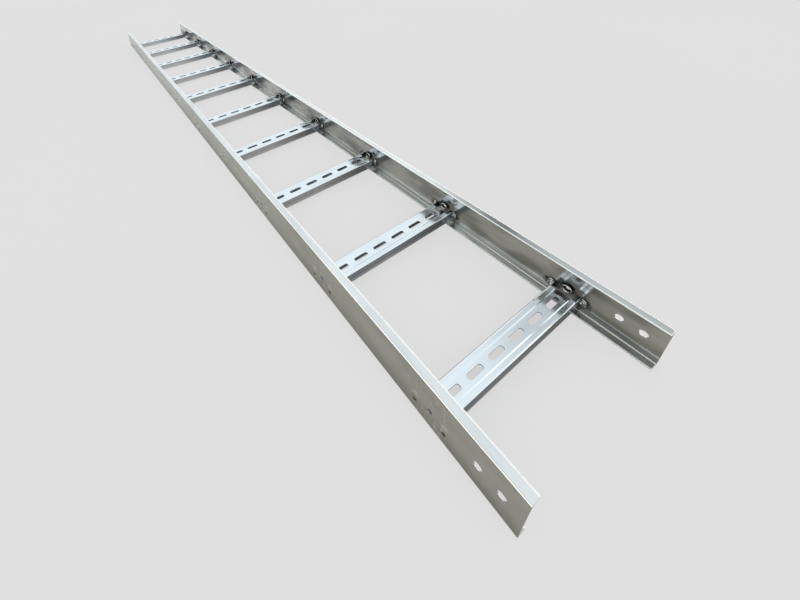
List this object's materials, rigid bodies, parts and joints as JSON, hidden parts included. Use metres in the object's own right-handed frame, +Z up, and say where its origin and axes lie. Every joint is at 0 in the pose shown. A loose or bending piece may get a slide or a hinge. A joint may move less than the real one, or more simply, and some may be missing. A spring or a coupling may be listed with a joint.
{
  "type": "cable ladder section",
  "caption": "Galvanised steel cable ladder section: channel side rails joined by slotted channel rungs, with splice holes at both ends of each rail.",
  "frame": {"origin": "centre of the length and the width, on the plane the rails stand on", "axes": "X along the ladder, Y across it from the left rail to the right rail, Z up"},
  "size_m": [3, 0.44, 0.105],
  "materials": {
    "rail_steel": "smooth galvanised sheet, semi-gloss grey with smudged reflections",
    "rung_steel": "bright zinc, pale blue-white"
  },
  "bodies": {
    "root": {"rail_left": "rail_steel", "rail_right": "rail_steel", "rung_01": "rung_steel", "rung_02": "rung_steel", "rung_03": "rung_steel", "rung_04": "rung_steel", "rung_05": "rung_steel", "rung_06": "rung_steel", "rung_07": "rung_steel", "rung_08": "rung_steel", "rung_09": "rung_steel", "rung_10": "rung_steel"}
  },
  "joints": []
}
